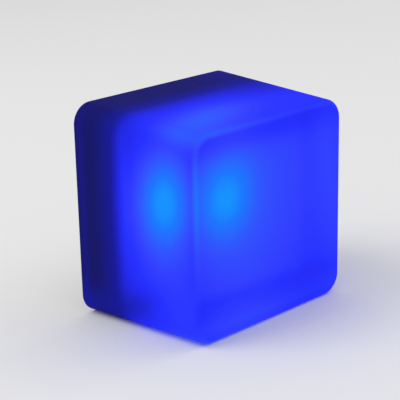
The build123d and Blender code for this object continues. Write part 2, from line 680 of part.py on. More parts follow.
def charge_flap():
    body = extrude(Pos(PORT_X, CONTROLS_Y, PANEL_RECESS) * flap_outline(0), FLAP)
    body = chamfer(body.edges().group_by(Axis.Z)[0], FLAP_EDGE)
    width = PORT_WIDTH - 2 * NOSE_CLEARANCE
    height = PORT_HEIGHT - 2 * NOSE_CLEARANCE
    low = PANEL_RECESS + FLAP
    body += slot_block(PORT_X, CONTROLS_Y, low, low + NOSE_DEPTH, width, height, NOSE_TAPER)
    # The web that reaches the hinge line, thinned to the bead that turns in the anchor's groove.
    web_width = ANCHOR_WIDTH - 2 * FLAP_CLEARANCE
    web_align = (Align.CENTER, Align.MAX, Align.CENTER)
    web = Box(web_width, HINGE_GAP + WEB_ROOT, 2 * HINGE_RADIUS, align=web_align)
    bead = Rot(0, 90, 0) * Cylinder(HINGE_RADIUS, web_width)
    return body + Pos(PORT_X, HINGE_Y, HINGE_Z) * (web + bead)


def flap_anchor():
    body = anchor_block(0, ANCHOR_Z, ANCHOR_Z + ANCHOR)
    groove = Rot(0, 90, 0) * Cylinder(HINGE_RADIUS + HINGE_CLEARANCE, 2 * ANCHOR_WIDTH)
    body -= Pos(PORT_X, HINGE_Y, HINGE_Z) * groove
    for x, y in peg_spots():
        body += post(x, y, ANCHOR_Z + ANCHOR / 2, PANEL_INNER + PEG_HEAD_HEIGHT, PEG_RADIUS)
        head = post(x, y, PANEL_INNER, PANEL_INNER + PEG_HEAD_HEIGHT, PEG_HEAD)
        body += chamfer(head.edges().sort_by(Axis.Z)[-1], PEG_HEAD_EDGE)
    return body


# ---- Indicator ----


def indicator_window():
    end = BOARD_LEVEL - INDICATOR_CHIP_HEIGHT - WINDOW_GAP
    body = post(0, CONTROLS_Y, PANEL_RECESS, end, WINDOW_RADIUS)
    body = fillet(body.edges().group_by(Axis.Z)[0], WINDOW_EDGE)
    top = PANEL_INNER + WINDOW_FLANGE_HEIGHT
    return body + post(0, CONTROLS_Y, PANEL_INNER, top, WINDOW_RADIUS + WINDOW_FLANGE)


def indicator_chip():
    middle = BOARD_LEVEL - INDICATOR_CHIP_HEIGHT / 2
    return Pos(0, CONTROLS_Y, middle) * Box(INDICATOR_CHIP, INDICATOR_CHIP / 2, INDICATOR_CHIP_HEIGHT)


# ---- Control board ----


def control_board():
    outline = Pos(0, CONTROLS_Y, BOARD_LEVEL) * RectangleRounded(BOARD_WIDTH, BOARD_HEIGHT, BOARD_EDGE)
    body = extrude(outline, BOARD)
    for x, y in board_post_spots():
        body -= post(x, y, BOARD_LEVEL, BOARD_FRONT, SMALL_HOLE)
    return body


def board_screws():
    return small_screws(board_post_spots(), BOARD_FRONT)


def board_components():
    """Controller, charger, coil, capacitors and a row of resistors, on the board's front."""
    middle = Pos(0, CONTROLS_Y, BOARD_FRONT)
    base = (Align.CENTER, Align.CENTER, Align.MIN)
    controller = Box(CONTROLLER, CONTROLLER, PACKAGE, align=base)
    charger = Box(CHARGER_WIDTH, CHARGER_HEIGHT, PACKAGE, align=base)
    coil = Box(COIL, COIL, COIL_HEIGHT, align=base)
    coil = fillet(coil.edges().filter_by(Axis.Z), COIL_EDGE)
    resistor = Box(RESISTOR_LENGTH, RESISTOR_WIDTH, RESISTOR, align=base)
    made = [
        middle * Pos(CONTROLLER_X, CONTROLLER_Y, 0) * controller,
        middle * Pos(CHARGER_X, UPPER_ROW, 0) * charger,
        middle * Pos(COIL_X, UPPER_ROW, 0) * coil,
    ]
    for x in CAPACITOR_X:
        made.append(middle * post(x, CAPACITOR_Y, 0, CAPACITOR_HEIGHT, CAPACITOR_RADIUS))
    for place in range(RESISTOR_COUNT):
        made.append(middle * Pos(RESISTOR_X + RESISTOR_PITCH * place, RESISTOR_Y, 0) * resistor)
    return several(made)


# ---- Battery ----


def battery_cell():
    body = Pos(0, CELL_Y, CELL_Z) * Rot(0, 90, 0) * Cylinder(CELL_RADIUS, CELL_LENGTH)
    return fillet(body.edges().filter_by(GeomType.CIRCLE), CELL_EDGE)


def battery_cradle():
    base = (Align.CENTER, Align.CENTER, Align.MIN)
    body = Box(CRADLE_LENGTH, CRADLE_WIDTH, CRADLE_FLOOR + CRADLE_REACH, align=base)
    body = Pos(0, CELL_Y, PANEL_INNER) * body
    ear_length = CRADLE_EAR_GAP + 2 * SMALL_BOSS + CRADLE_WALL
    ear = RectangleRounded(2 * SMALL_BOSS, ear_length, CRADLE_EAR_RADIUS)
    for x, y in ear_spots():
        body += extrude(Pos(x, y - SMALL_BOSS + ear_length / 2, EAR_LEVEL) * ear, CRADLE_EAR_HEIGHT)
        body -= post(x, y, EAR_LEVEL, EAR_LEVEL + CRADLE_EAR_HEIGHT, SMALL_HOLE)
    room_length = CELL_LENGTH + 2 * CRADLE_END_GAP
    room_radius = CELL_RADIUS + CELL_CLEARANCE
    room = Rot(0, 90, 0) * Cylinder(room_radius, room_length)
    body -= Pos(0, CELL_Y, CELL_Z) * room
    return body - Pos(0, CELL_Y, CELL_Z) * Box(room_length, 2 * room_radius, CELL_RADIUS, align=base)


def cradle_screws():
    return small_screws(ear_spots(), EAR_LEVEL + CRADLE_EAR_HEIGHT)


def battery_pad():
    """Foam between the cell and the deck, hollowed to the cell."""
    low = CELL_Z + CELL_RADIUS - PAD_OVERLAP
    body = Pos(0, CELL_Y, (low + TUB_RIM) / 2) * Box(PAD_LENGTH, PAD_WIDTH, TUB_RIM - low)
    hollow = Rot(0, 90, 0) * Cylinder(CELL_RADIUS + PAD_CLEARANCE, 2 * PAD_LENGTH)
    return body - Pos(0, CELL_Y, CELL_Z) * hollow


def battery_tabs():
    tabs = []
    for side in (-1, 1):
        x = side * (CELL_LENGTH / 2 + TAB / 2)
        tab = Box(TAB, TAB_WIDTH, TAB_REACH + TAB_WIDTH / 2)
        tabs.append(Pos(x, CELL_Y, CELL_Z + TAB_REACH / 2) * tab)
    return several(tabs)


# ---- Leads ----


def plug_spots():
    """Middle of the plug of the battery leads, and of the plug of the lamp leads."""
    y = CONTROLS_Y - BOARD_HEIGHT / 2 + PLUG_INSET + PLUG_LENGTH / 2
    return [(PLUG_X, y), (-PLUG_X, y)]


PLUG_ENTRY = CONTROLS_Y - BOARD_HEIGHT / 2 + PLUG_INSET
PLUG_LEVEL = BOARD_FRONT + PLUG_HEIGHT / 2


def lead_plugs():
    plugs = []
    for x, y in plug_spots():
        block = Pos(x, y, PLUG_LEVEL) * Box(PLUG_WIDTH, PLUG_LENGTH, PLUG_HEIGHT)
        plugs.append(chamfer(block.edges().group_by(Axis.Z)[-1], PLUG_EDGE))
    return several(plugs)


def lead(points):
    """A round wire on straight runs joined by tangent arcs as large as the runs allow."""
    spots = [Vector(*point) for point in points]
    radii = []
    for before, here, after in zip(spots, spots[1:], spots[2:]):
        turn = math.radians((here - before).get_angle(after - here))
        shorter = min((here - before).length, (after - here).length)
        radii.append(LEAD_BEND * shorter / math.tan(turn / 2))
    print("lead radii", [round(radius, 1) for radius in radii])
    path = FilletPolyline(*spots, radius=radii)
    start = Plane(origin=path @ 0, z_dir=path % 0)
    return sweep(start * Circle(LEAD_RADIUS), path=path)


def battery_leads():
    """From the tab at each end of the cell to the plug on the board."""
    level = CELL_Z + TAB_REACH / 2 + LEAD_JOIN
    out = CELL_LENGTH / 2 + TAB
    x = PLUG_X - LEAD_SPACING / 2
    near = [
        (out, CELL_Y, level),
        (out + 3, CELL_Y, level),
        (out + 4.5, CELL_Y + 5, level),
        (out + 2, CELL_Y + 12, level - 0.5),
        (x + LEAD_SPACING + 4, PLUG_ENTRY - 6, PLUG_LEVEL + 1.5),
        (x + LEAD_SPACING, PLUG_ENTRY - 3, PLUG_LEVEL),
        (x + LEAD_SPACING, PLUG_ENTRY, PLUG_LEVEL),
    ]
    far = [
        (-out, CELL_Y, level),
        (-out - 3, CELL_Y, level),
        (-out - 4, CELL_Y + 5, level),
        (-out + 2, CELL_Y + 12.5, level - 0.5),
        (-14, CELL_Y + 15.5, level - 0.8),
        (4, CELL_Y + 14.5, level - 0.8),
        (x - 4, PLUG_ENTRY - 6, PLUG_LEVEL + 1),
        (x, PLUG_ENTRY - 3, PLUG_LEVEL),
        (x, PLUG_ENTRY, PLUG_LEVEL),
    ]
    return several([lead(near), lead(far)])


def lamp_leads():
    """From the plug on the board, up through the deck, to the lamp board."""
    made = []
    for side in (-1, 1):
        x = -PLUG_X + side * LEAD_SPACING / 2
        hole_x = LEAD_HOLE_AT + side * LEAD_RADIUS * 1.2
        route = [
            (x, PLUG_ENTRY, PLUG_LEVEL),
            (x, PLUG_ENTRY - 2.6, PLUG_LEVEL),
            (x + 0.5, PLUG_ENTRY - 4.2, PLUG_LEVEL + 3),
            (hole_x, 0, TUB_RIM - 3),
            (hole_x, 0, LAMP_FRONT),
        ]
        made.append(lead(route))
    return several(made)


PIECES = (
    diffuser_shell,
    base_tub,
    base_seal,
    base_screws,
    rubber_feet,
    led_deck,
    deck_screws,
    reflector_sheet,
    heat_spreader,
    led_board,
    led_chips,
    led_board_screws,
    led_dome,
    power_button,
    button_seal,
    switch_plunger,
    push_switch,
    charge_socket,
    socket_gasket,
    charge_flap,
    flap_anchor,
    indicator_window,
    indicator_chip,
    control_board,
    board_screws,
    board_components,
    battery_cell,
    battery_cradle,
    cradle_screws,
    battery_pad,
    battery_tabs,
    lead_plugs,
    battery_leads,
    lamp_leads,
)

os.makedirs("parts", exist_ok=True)
for make in PIECES:
    piece = LAID * make()
    print(make.__name__, len(piece.solids()), "solids", round(piece.volume), "mm3")
    export_step(piece, "parts/" + make.__name__ + ".step")
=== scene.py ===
import math

import bmesh
import bpy
from mathutils import Matrix, Vector


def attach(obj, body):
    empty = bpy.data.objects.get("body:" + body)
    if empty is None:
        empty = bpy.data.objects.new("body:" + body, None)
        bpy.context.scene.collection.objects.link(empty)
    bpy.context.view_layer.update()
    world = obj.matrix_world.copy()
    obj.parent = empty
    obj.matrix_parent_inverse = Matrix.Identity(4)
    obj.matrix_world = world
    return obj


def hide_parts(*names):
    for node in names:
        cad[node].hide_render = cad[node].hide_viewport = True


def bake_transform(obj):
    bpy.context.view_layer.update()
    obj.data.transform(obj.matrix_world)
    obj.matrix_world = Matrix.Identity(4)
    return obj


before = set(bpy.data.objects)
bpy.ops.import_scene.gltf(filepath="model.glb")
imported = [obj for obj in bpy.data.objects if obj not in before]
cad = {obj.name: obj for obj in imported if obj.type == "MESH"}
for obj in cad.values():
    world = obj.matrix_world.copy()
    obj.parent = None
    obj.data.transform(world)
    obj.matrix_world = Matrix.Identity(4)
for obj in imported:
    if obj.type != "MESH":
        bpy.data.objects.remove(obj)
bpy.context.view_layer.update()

# ---- Camera ----
# The photograph is taken from a little above, square on to the upright edge between the lit cap and the
# left wall, from far off with a long lens, and with a slight roll.
VIEW_TURN = math.radians(-43.98)
VIEW_RISE = math.radians(16.49)
VIEW_ROLL = math.radians(-2.92)
VIEW_DISTANCE = 0.6078
VIEW_TARGET = Vector((0.0, 0.0, 0.05))
VIEW_ASIDE = 0.00452
VIEW_LOWER = 0.00040
VIEW_LENS = 118.70
SENSOR = 36.0

backward = Vector((
    math.sin(VIEW_TURN) * math.cos(VIEW_RISE),
    -math.cos(VIEW_TURN) * math.cos(VIEW_RISE),
    math.sin(VIEW_RISE),
))
level_right = Vector((0, 0, 1)).cross(backward).normalized()
level_up = backward.cross(level_right)
right = level_right * math.cos(VIEW_ROLL) + level_up * math.sin(VIEW_ROLL)
up = level_up * math.cos(VIEW_ROLL) - level_right * math.sin(VIEW_ROLL)
stand = VIEW_TARGET + backward * VIEW_DISTANCE - right * VIEW_ASIDE - up * VIEW_LOWER

camera = bpy.data.objects.new("camera", bpy.data.cameras.new("camera"))
camera.matrix_world = Matrix.Translation(stand) @ Matrix((right, up, backward)).transposed().to_4x4()
camera.data.sensor_width = SENSOR
camera.data.lens = VIEW_LENS
bpy.context.scene.collection.objects.link(camera)
bpy.context.scene.camera = camera

# ---- Diffuser shell ----
# The thick outer block, moulded in one piece in frosted translucent plastic: four drafted walls with wide
# round edges and a flat cap with a tight one. The tub slides in from the rear, and its panel sits in the
# rim. The lamp's light is painted into the shell's glow as a soft spot in each wall, and the tub's shadow
# as a painted dark band along the rear.
SIDE = 100.0
DEPTH = 74.0
DRAFT = math.radians(2.25)
CORNER_RADIUS = 9.5
CAP_RADIUS = 3.0
RIM_RADIUS = 0.8
RIM_INNER_EDGE = 0.25
SEAT_HALF = 47.5  # half the width of the seat that takes the tub's panel
LEDGE = 5.6  # level of the ledge at the seat's end
WALL = 4.5
CAP_WALL = 5.0
CAP_INNER_RADIUS = 2.5
CORNER_STEPS = 10
SIDE_STEPS = 16
WALL_RINGS = 24
CAP_RINGS = 9
CAP_EDGE_STEPS = 12
RIM_EDGE_STEPS = 6
ROOM_EDGE_STEPS = 6
CAP_EDGE_ROOM = 1.15  # of its radius: where the wall's own rings start
RIM_EDGE_ROOM = 1.6
SMOOTH_BELOW = math.radians(38)

# Pieces are drawn on the bench, in millimetres: the rear rim is at 0 and the cap is up. LAID turns the
# light onto the side wall that it rests on, and gives metres.
MILLIMETRE = 0.001
LAID = (
    Matrix.Translation((0, DEPTH / 2 * MILLIMETRE, 0))
    @ Matrix.Rotation(math.pi / 2 + DRAFT, 4, "X")
    @ Matrix.Translation((0, SIDE / 2 * MILLIMETRE, 0))
    @ Matrix.Scale(MILLIMETRE, 4)
)


def rounded_ring(half, level, radius):
    """Points round a square with rounded corners."""
    ring = []
    centre = half - radius
    for quarter in range(4):
        turn = Matrix.Rotation(quarter * math.pi / 2, 3, "Z")
        for step in range(CORNER_STEPS + 1):
            angle = step / CORNER_STEPS * math.pi / 2
            ring.append(turn @ Vector((
                centre + radius * math.cos(angle), centre + radius * math.sin(angle), level,
            )))
        for step in range(1, SIDE_STEPS):
            ring.append(turn @ Vector((centre - 2 * centre * step / SIDE_STEPS, half, level)))
    return ring


def arc(middle, radius, start, end, steps):
    """Points of an arc, as distances from an axis and levels in a section, or as x and y in an outline."""
    angles = [start + (end - start) * step / steps for step in range(steps + 1)]
    return [
        (middle[0] + radius * math.cos(angle), middle[1] + radius * math.sin(angle)) for angle in angles
    ]


def finished_object(name, built, body, finish, replaced):
    """Turns bench geometry into an object in its place, smooth but for its true corners."""
    bmesh.ops.recalc_face_normals(built, faces=built.faces)
    mesh = bpy.data.meshes.new(name)
    built.to_mesh(mesh)
    built.free()
    mesh.transform(LAID)
    mesh.shade_smooth()
    mesh.set_sharp_from_angle(angle=SMOOTH_BELOW)
    mesh.materials.append(finish.material)
    piece = bpy.data.objects.new(name, mesh)
    bpy.context.scene.collection.objects.link(piece)
    if body:
        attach(piece, body)
    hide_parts(*replaced)
    return piece


def add_loft(built, rings):
    """Joins rings of as many points each by quads, and closes a ring at either end by a fan."""
    rows = [[built.verts.new(point) for point in ring] for ring in rings]
    for near, far in zip(rows, rows[1:]):
        for index in range(len(near)):
            other = (index + 1) % len(near)
            built.faces.new((near[index], near[other], far[other], far[index]))
    for row in (rows[0], rows[-1]):
        middle = built.verts.new(sum((vertex.co for vertex in row), Vector()) / len(row))
        for index in range(len(row)):
            built.faces.new((row[index], row[(index + 1) % len(row)], middle))


class Value:
    """One output of a node. The operators on it add Math nodes to its material."""

    def __init__(self, finish, socket):
        self.finish = finish
        self.socket = socket

    def math(self, operation, *others):
        return self.finish.node("ShaderNodeMath", {"operation": operation}, (self, *others))

    def reflected(self, operation, other):
        return self.finish.node("ShaderNodeMath", {"operation": operation}, (other, self))

    def __add__(self, other):
        return self.math("ADD", other)

    def __sub__(self, other):
        return self.math("SUBTRACT", other)

    def __rsub__(self, other):
        return self.reflected("SUBTRACT", other)

    def __mul__(self, other):
        return self.math("MULTIPLY", other)

    def __truediv__(self, other):
        return self.math("DIVIDE", other)

    def __rtruediv__(self, other):
        return self.reflected("DIVIDE", other)

    def __pow__(self, other):
        return self.math("POWER", other)

    def __rpow__(self, other):
        return self.reflected("POWER", other)

    def __abs__(self):
        return self.math("ABSOLUTE")

    __radd__ = __add__
    __rmul__ = __mul__


class Finish:
    """The material of one of the light's finishes, on the principled shader."""

    def __init__(self, name, **fixed):
        self.material = bpy.data.materials.new(name)
        self.material.use_nodes = True
        self.tree = self.material.node_tree
        self.shader = self.tree.nodes["Principled BSDF"]
        for socket, value in fixed.items():
            self.shader.inputs[socket.replace("_", " ")].default_value = value

    def node(self, kind, settings=None, inputs=(), output=0):
        """Adds a node: its settings first, then a value or a link for each of its inputs."""
        made = self.tree.nodes.new(kind)
        for key, value in (settings or {}).items():
            if key == "stops":
                ramp = made.color_ramp
                while len(ramp.elements) < len(value):
                    ramp.elements.new(1.0)
                for element, (position, tone) in zip(ramp.elements, value):
                    element.position = position
                    element.color = tone
            else:
                setattr(made, key, value)
        pairs = inputs.items() if isinstance(inputs, dict) else enumerate(inputs)
        for key, value in pairs:
            if isinstance(value, Value):
                self.tree.links.new(value.socket, made.inputs[key])
            else:
                made.inputs[key].default_value = value
        return Value(self, made.outputs[output])

    def feed(self, socket, value):
        self.tree.links.new(value.socket, self.shader.inputs[socket])

    def tint(self, share, first, second):
        """Feeds a colour between two others to the surface."""
        self.feed("Base Color", self.blend(share, first, second))

    def mottle(self, share, first, second, smooth, rough, relief, strength):
        """Varies the colour, the roughness and a fine relief together."""
        self.tint(share, first, second)
        self.feed("Roughness", share * (rough - smooth) + smooth)
        self.relief(share, relief, strength)

    def place(self):
        """The point on the bench, in millimetres."""
        point = self.node("ShaderNodeTexCoord", output="Object")
        inputs = {
            "Vector": point,
            "Location": LAID.to_translation(),
            "Rotation": LAID.to_euler(),
            "Scale": LAID.to_scale(),
        }
        return self.node("ShaderNodeMapping", {"vector_type": "TEXTURE"}, inputs)

    def facing(self):
        """The surface's direction on the bench."""
        direction = self.node("ShaderNodeTexCoord", output="Normal")
        inputs = {"Vector": direction, "Rotation": LAID.to_euler()}
        return self.node("ShaderNodeMapping", {"vector_type": "TEXTURE"}, inputs)

    def parts(self, vector):
        return [self.node("ShaderNodeSeparateXYZ", None, (vector,), axis) for axis in ("X", "Y", "Z")]

    def noise(self, vector, scale, detail=2.0, roughness=0.5):
        """Cloudy variation about 0.5, with this many spots to the vector's unit."""
        inputs = {"Vector": vector, "Scale": scale, "Detail": detail, "Roughness": roughness}
        return self.node("ShaderNodeTexNoise", None, inputs)

    def ramp(self, value, stops):
        return self.node("ShaderNodeValToRGB", {"stops": stops}, (value,))

    def blend(self, share, first, second):
        """A colour between two others, through the Mix node's sockets for colours, 6, 7 and 2."""
        inputs = {"Factor": share, 6: first, 7: second}
        return self.node("ShaderNodeMix", {"data_type": "RGBA"}, inputs, 2)

    def relief(self, height, distance, strength):
        """Feeds fine relief, this many millimetres high, to the surface's normal."""
        inputs = {"Height": height, "Distance": distance * MILLIMETRE, "Strength": strength}
        self.feed("Normal", self.node("ShaderNodeBump", None, inputs))


def colour(red, green, blue):
    return (red, green, blue, 1.0)


def spot(across, along, middle, reach, turn, strength):
    """A soft oval of light or shade on a wall, about its middle and leaning by its turn."""
    cosine, sine = math.cos(turn), math.sin(turn)
    far = ((across - middle[0]) * cosine + (along - middle[1]) * sine) / reach[0]
    high = ((along - middle[1]) * cosine - (across - middle[0]) * sine) / reach[1]
    return ((far * far + high * high) * -1).math("EXPONENT") * strength


def bell(value, middle, reach, strength):
    """A soft line of light about a place."""
    offset = (value - middle) / reach
    return (offset * offset * -1).math("EXPONENT") * strength


def climb(value, low, gain, start, end):
    """A level that climbs softly by its gain between two places."""
    inputs = {"Value": value, "From Min": start, "From Max": end, "To Min": low, "To Max": low + gain}
    return value.finish.node("ShaderNodeMapRange", {"interpolation_type": "SMOOTHSTEP"}, inputs)


# Levels of light run from 0, unlit plastic, to 1, over the lamp. A wall's light climbs in front of the
# tub: its start, its gain, and the depths between which it climbs. Each spot has its middle, its reach
# both ways, its lean and its strength. It lies at a depth and a height on the near wall, at a depth and an
# x on the upper one, and at an x and a height on the cap.
SIDE_CLIMB = (0.01, 0.36, 8.7, 41.0)
SIDE_SPOTS = (
    ((56.0, 17.0), (16.2, 23.0), -0.26, 0.57),  # over the lamp
    ((61.0, -22.0), (27.5, 49.0), 0.40, 0.15),  # its halo, below
    ((46.6, 56.0), (23.0, 6.0), -0.24, 1.70),  # light gathered along the upper edge
    ((36.6, -36.5), (14.5, 7.0), 0.41, -0.12),  # shade at the deck's lower corner
    ((7.0, -44.5), (16.0, 9.0), 0.23, 0.15),  # light past the tub, below
    ((30.5, 13.0), (4.0, 42.0), 0.0, 0.10),  # light off the deck's edge
)
UPPER_CLIMB = (0.023, 0.448, 12.8, 41.0)
UPPER_SPOTS = (
    ((56.0, -24.0), (14.0, 36.0), 0.33, 0.25),  # over the lamp
    ((91.7, -10.6), (10.4, 34.0), -0.21, 1.15),  # light gathered along the cap
    ((37.0, 80.0), (94.0, 10.4), 1.59, -0.20),  # shade towards the far wall
    ((1.5, 49.5), (11.7, 20.5), 0.44, 0.11),  # light past the tub's corner
)
CAP_LEVEL = 0.273
CAP_SPOTS = (
    ((-30.4, 16.9), (17.8, 16.9), 1.93, 0.358),  # over the lamp
    ((11.4, 24.5), (144.0, 63.0), 1.72, 0.88),  # its wide halo
    ((-33.6, -28.0), (73.5, 4.2), -0.04, -0.062),  # shade above the lower edge
    ((13.4, 48.0), (46.2, 293.0), 0.10, -0.596),  # dimmer away from the lamp
    ((-22.6, 43.7), (71.0, 7.9), 0.0, -0.142),  # shade under the upper edge
    ((38.1, 13.0), (8.7, 79.4), 0.09, 0.040),  # light along the far wall
    ((-12.3, -40.9), (69.6, 4.4), -0.02, 0.067),  # light along the lower edge
)
# A lighter pane of painted light on the cap, where the room inside shows through: its gain, and where it
# fades in x and in height.
PANE_GAIN = 0.026
PANE_SIDE = (15.3, 22.5)
PANE_FOOT = (-36.0, -24.0)
# Lines of light gather in the round edges: the rim's at a depth, the cap's beside the walls at a height,
# and the cap's upper one at an x, with a share all along.
RIM_LINE = (3.9, 2.4, 0.065)
CAP_EDGE_LINE = (20.0, 27.6, 0.168)
CAP_UPPER_LINE = (-41.0, 31.0, 0.030)
CAP_UPPER_LEVEL = 0.061
EDGE_PEAK = 4.0  # halfway round an edge the shares of its two faces multiply to a quarter
REAR_LEVEL = 0.08
CLOUD_SCALE = 0.12
FROST_SCALE = 3.2
UNLIT_BLUE = colour(0.004, 0.005, 0.08)
GLOW = (
    (0.00, colour(0.0056, 0.0043, 0.035)),
    (0.20, colour(0.0056, 0.0061, 0.240)),
    (0.42, colour(0.0140, 0.0200, 0.825)),
    (0.48, colour(0.0165, 0.0265, 0.925)),
    (0.56, colour(0.0275, 0.0430, 0.920)),
    (0.64, colour(0.0295, 0.0670, 0.918)),
    (0.72, colour(0.0240, 0.0970, 0.915)),
    (0.88, colour(0.0080, 0.1800, 0.915)),
    (1.00, colour(0.0045, 0.2850, 0.915)),
)

shell_finish = Finish(
    "frosted_blue",
    Base_Color=UNLIT_BLUE,
    Roughness=0.5,
    Specular_IOR_Level=0.005,
    Emission_Strength=1.0,
)
shell_place = shell_finish.place()
x, height, depth = shell_finish.parts(shell_place)
facing_x, facing_height, facing_depth = shell_finish.parts(shell_finish.facing())
side_share = facing_x * facing_x
upper_share = facing_height * facing_height
cap_share = facing_depth.math("MAXIMUM", 0.0) ** 2
rear_share = facing_depth.math("MINIMUM", 0.0) ** 2

side_level = climb(depth, *SIDE_CLIMB) + bell(depth, *RIM_LINE)
for middle, reach, turn, strength in SIDE_SPOTS:
    side_level = side_level + spot(depth, height, middle, reach, turn, strength)
upper_level = climb(depth, *UPPER_CLIMB)
for middle, reach, turn, strength in UPPER_SPOTS:
    upper_level = upper_level + spot(depth, x, middle, reach, turn, strength)
cap_level = CAP_LEVEL
for middle, reach, turn, strength in CAP_SPOTS:
    cap_level = spot(x, height, middle, reach, turn, strength) + cap_level

pane_of_light = (1 - climb(x, 0.0, 1.0, *PANE_SIDE)) * climb(height, 0.0, 1.0, *PANE_FOOT)
cap_level = cap_level + pane_of_light * PANE_GAIN

light_level = side_share * side_level + upper_share * upper_level + cap_share * cap_level
light_level = light_level + rear_share * REAR_LEVEL
light_level = light_level + side_share * cap_share * bell(height, *CAP_EDGE_LINE) * EDGE_PEAK
upper_line = bell(x, *CAP_UPPER_LINE) + CAP_UPPER_LEVEL
light_level = light_level + upper_share * cap_share * upper_line * EDGE_PEAK
# The glow is painted: the lamp's light and the tub's shadow are levels, turned into the emission colour.
shell_finish.feed("Emission Color", shell_finish.ramp(light_level, GLOW))

cloud = shell_finish.noise(shell_place, scale=CLOUD_SCALE, detail=3.0)
shell_finish.feed("Roughness", cloud * 0.12 + 0.46)
frost = shell_finish.noise(shell_place, scale=FROST_SCALE, detail=3.0, roughness=0.6)
shell_finish.relief(frost, distance=0.04, strength=0.35)


def wall_half(level, inset=0.0):
    """Half width of the block's drafted skin at a level, or of the same skin further in."""
    return SIDE / 2 - level * math.tan(DRAFT) - inset


cap_middle = (wall_half(DEPTH - CAP_RADIUS) - CAP_RADIUS / math.cos(DRAFT), DEPTH - CAP_RADIUS)
rim_middle = (wall_half(RIM_RADIUS) - RIM_RADIUS / math.cos(DRAFT), RIM_RADIUS)
outer_section = arc(cap_middle, CAP_RADIUS, math.pi / 2, DRAFT, CAP_EDGE_STEPS)
wall_top = DEPTH - CAP_RADIUS * CAP_EDGE_ROOM
wall_foot = RIM_RADIUS * RIM_EDGE_ROOM
for step in range(WALL_RINGS + 1):
    level = wall_top + (wall_foot - wall_top) * step / WALL_RINGS
    outer_section.append((wall_half(level), level))
outer_section += arc(rim_middle, RIM_RADIUS, DRAFT, -math.pi / 2, RIM_EDGE_STEPS)
outer_rings = [
    rounded_ring(half, level, CORNER_RADIUS - wall_half(level) + half)
    for half, level in outer_section
]
seat_radius = CORNER_RADIUS - (SIDE / 2 - SEAT_HALF)
seat_rings = [
    rounded_ring(SEAT_HALF + RIM_INNER_EDGE, 0.0, seat_radius + RIM_INNER_EDGE),
    rounded_ring(SEAT_HALF, RIM_INNER_EDGE, seat_radius),
    rounded_ring(SEAT_HALF, LEDGE, seat_radius),
]
room_top = DEPTH - CAP_WALL
room_edge = room_top - CAP_INNER_RADIUS
room_half = wall_half(room_edge, WALL)
room_section = [(wall_half(LEDGE, WALL), LEDGE), (room_half, room_edge)]
room_middle = (room_half - CAP_INNER_RADIUS, room_edge)
room_section += arc(room_middle, CAP_INNER_RADIUS, 0.0, math.pi / 2, ROOM_EDGE_STEPS)[1:]
room_radius = CORNER_RADIUS - WALL
room_rings = [
    rounded_ring(half, level, room_radius - wall_half(min(level, room_edge), WALL) + half)
    for half, level in room_section
]



def drawn_in(ring, share):
    """The same ring at a share of its width."""
    return [Vector((point.x * share, point.y * share, point.z)) for point in ring]


flat_shares = [(ring + 1) / (CAP_RINGS + 1) for ring in range(CAP_RINGS)]
cap_rings = [drawn_in(outer_rings[0], share) for share in flat_shares]
ceiling_rings = [drawn_in(room_rings[-1], share) for share in reversed(flat_shares)]

shell_mesh = bmesh.new()
add_loft(shell_mesh, cap_rings + outer_rings + seat_rings + room_rings + ceiling_rings)
finished_object(
    "diffuser", shell_mesh, "housing", shell_finish, ["diffuser_shell"]
)

# ---- Base tub, deck, battery cradle and switch ----
# Moulded in dark ABS. The tub's floor is the panel seen from behind, with a fine spark-eroded texture.
# Four screws at its corners pull it against the shell, and the deck closes it on the lamp's side.
PANEL_FACE = 0.6  # level of the panel, just inside the rim
PLASTIC_DARK = colour(0.020, 0.021, 0.024)
PLASTIC_PALE = colour(0.062, 0.064, 0.070)
plastic_finish = Finish("dark_plastic", Specular_IOR_Level=0.4)
place = plastic_finish.place()
speckle = plastic_finish.noise(place, scale=3.6, detail=4.0, roughness=0.65)
patches = plastic_finish.noise(place, scale=0.05)
plastic_finish.tint((speckle * 0.55 + patches * 0.45) ** 1.6, PLASTIC_DARK, PLASTIC_PALE)
plastic_finish.feed("Roughness", speckle * 0.22 + patches * 0.10 + 0.42)
plastic_finish.relief(speckle, distance=0.06, strength=0.5)


def dress(finish, *names):
    """Gives CAD nodes, whose shapes are right as they are, a finish."""
    for name in names:
        for slot in cad[name].material_slots:
            slot.material = finish.material


dress(plastic_finish, "base_tub", "led_deck", "battery_cradle", "push_switch")

# ---- Feet ----
# Four round pads in moulded black rubber with grip rings, glued into shallow seats in the panel. The
# light stands on them when its cap faces up.
FOOT_AT = 28.5
FOOT_RADIUS = 6.0
FOOT_FACE = -1.2
FOOT_TOP = 1.4
FOOT_EDGE = 0.7
FOOT_HEEL = 0.1
FOOT_EDGE_STEPS = 6
GRIP_RINGS = (1.5, 2.9, 4.3)
GRIP_HALF = 0.3
GRIP_FLOOR_HALF = 0.15
GRIP_DEPTH = 0.22
FACE_CENTRE = 0.4  # radius of the fan that closes a turned face
TURN_STEPS = 64
RUBBER_BLACK = colour(0.012, 0.012, 0.013)
RUBBER_BLOOM = colour(0.045, 0.044, 0.043)

rubber_finish = Finish("black_rubber", Specular_IOR_Level=0.3)
place = rubber_finish.place()
grain = rubber_finish.noise(place, scale=2.2, detail=4.0, roughness=0.7)
bloom = rubber_finish.noise(place, scale=0.25, detail=3.0)
rubber_finish.tint(bloom * 0.7 + grain * 0.3, RUBBER_BLACK, RUBBER_BLOOM)
rubber_finish.feed("Roughness", grain * 0.2 + 0.62)
rubber_finish.relief(grain, distance=0.05, strength=0.4)


def add_lathe(built, section, x, y, steps=TURN_STEPS):
    """Turns a half section, from axis to axis, about an upright axis."""
    turns = [step / steps * 2 * math.pi for step in range(steps)]
    rings = []
    for radius, level in section:
        rings.append([
            Vector((x + radius * math.cos(turn), y + radius * math.sin(turn), level)) for turn in turns
        ])
    add_loft(built, rings)


